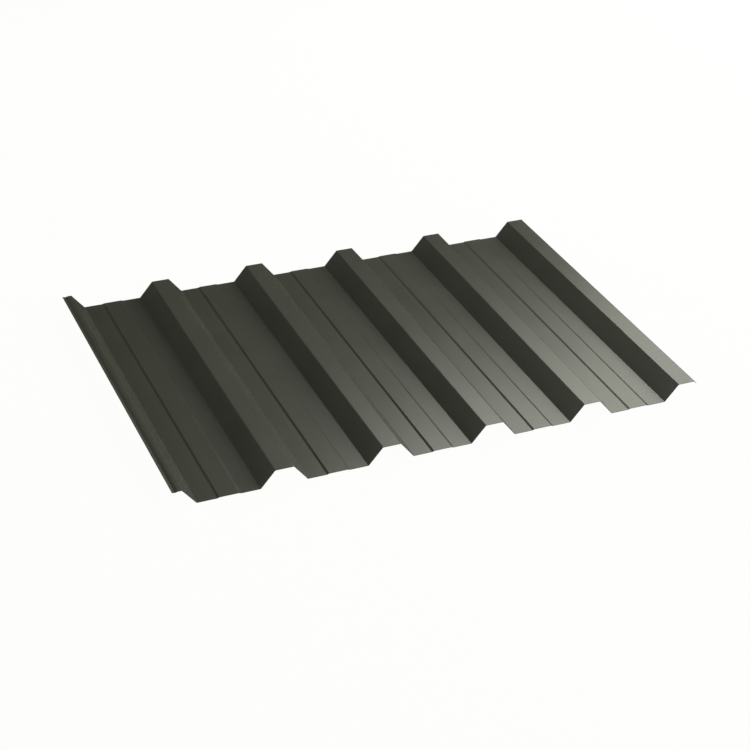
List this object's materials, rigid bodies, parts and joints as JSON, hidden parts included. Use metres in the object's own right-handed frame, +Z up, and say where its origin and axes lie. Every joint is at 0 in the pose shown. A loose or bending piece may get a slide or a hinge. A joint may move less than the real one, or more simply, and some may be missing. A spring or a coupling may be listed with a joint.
{
  "type": "trapezoidal corrugated metal sheet",
  "caption": "Roll-formed steel roofing and cladding sheet with trapezoidal ribs, a raised stiffener along each pan and side laps that nest with the next sheet.",
  "frame": {"origin": "middle of the sheet's footprint, on the plane that the undersides of the pans lie on", "axes": "+X across the ribs from the underlap to the overlap, +Y along the ribs, +Z up to the weather side"},
  "size_m": [1.0224, 0.706, 0.0327],
  "materials": {
    "coated_steel": "satin dark olive-grey coil coating on steel"
  },
  "bodies": {
    "root": {"profiled_sheet": "coated_steel"}
  },
  "joints": []
}
